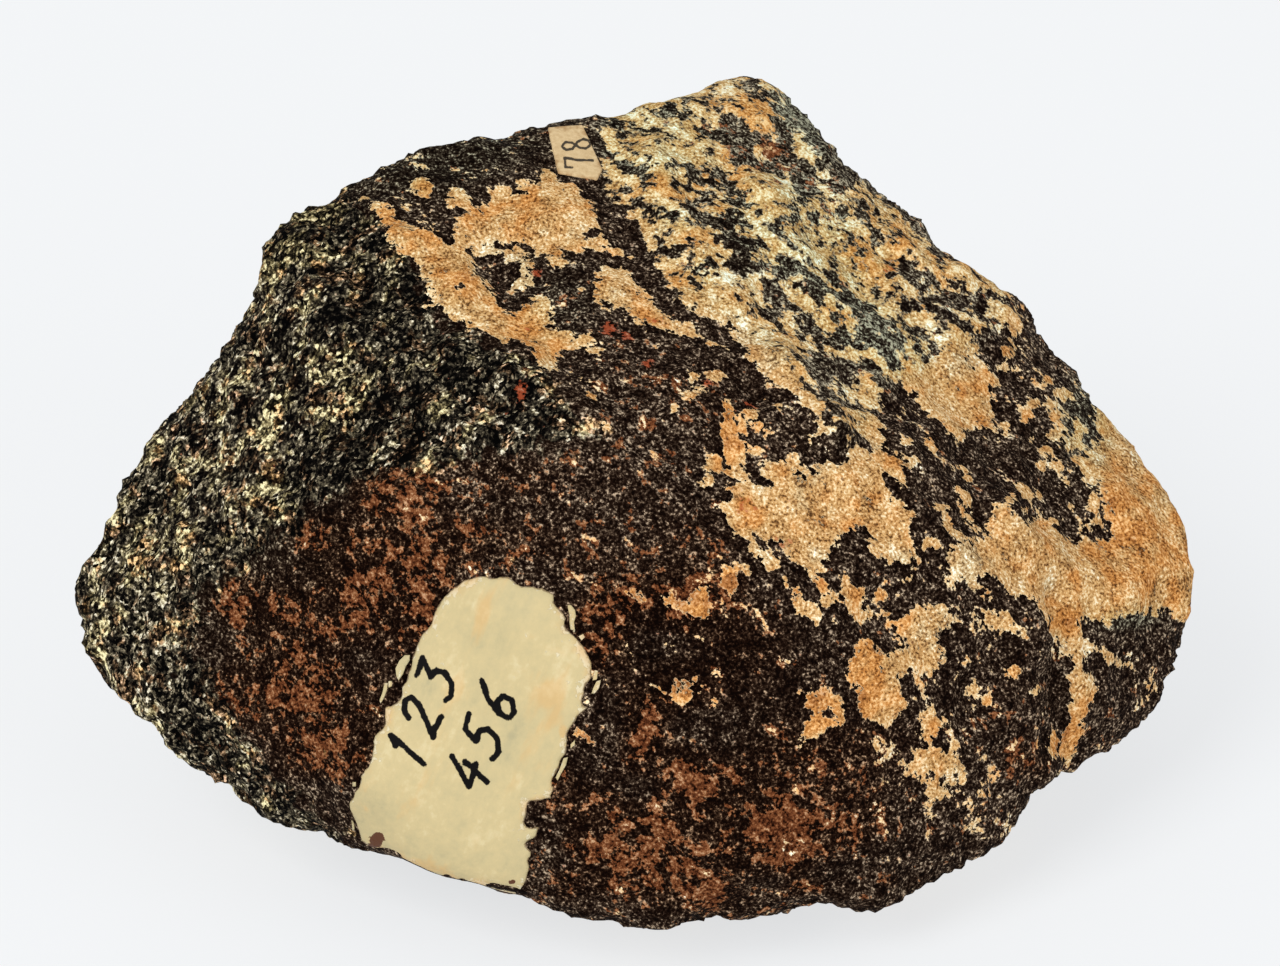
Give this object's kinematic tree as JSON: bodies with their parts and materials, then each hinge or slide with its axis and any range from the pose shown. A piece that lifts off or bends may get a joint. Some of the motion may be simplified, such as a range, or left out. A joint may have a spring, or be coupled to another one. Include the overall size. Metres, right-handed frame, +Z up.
{
  "type": "emery rock specimen",
  "caption": "Hand-size lump of dark granular emery with tan crust patches, a painted number patch and a small paper tag, lying on a flat spot.",
  "frame": {"origin": "middle of the specimen's box, on the plane that it rests on", "axes": "+X along its longest side, from the broken left end to the tan right end; +Y away from the numbered face; +Z up"},
  "size_m": [0.0912, 0.0696, 0.0507],
  "materials": {
    "emery": "near-black granular rock with rust brown and tan weathered crust, dull with small glints",
    "cream_enamel": "thick brushed cream enamel paint, satin, with black inked figures",
    "aged_paper": "yellowed paper, matt, with two printed figures"
  },
  "bodies": {
    "root": {"emery_stone": "emery", "number_patch": "cream_enamel", "paper_tag": "aged_paper"}
  },
  "joints": []
}
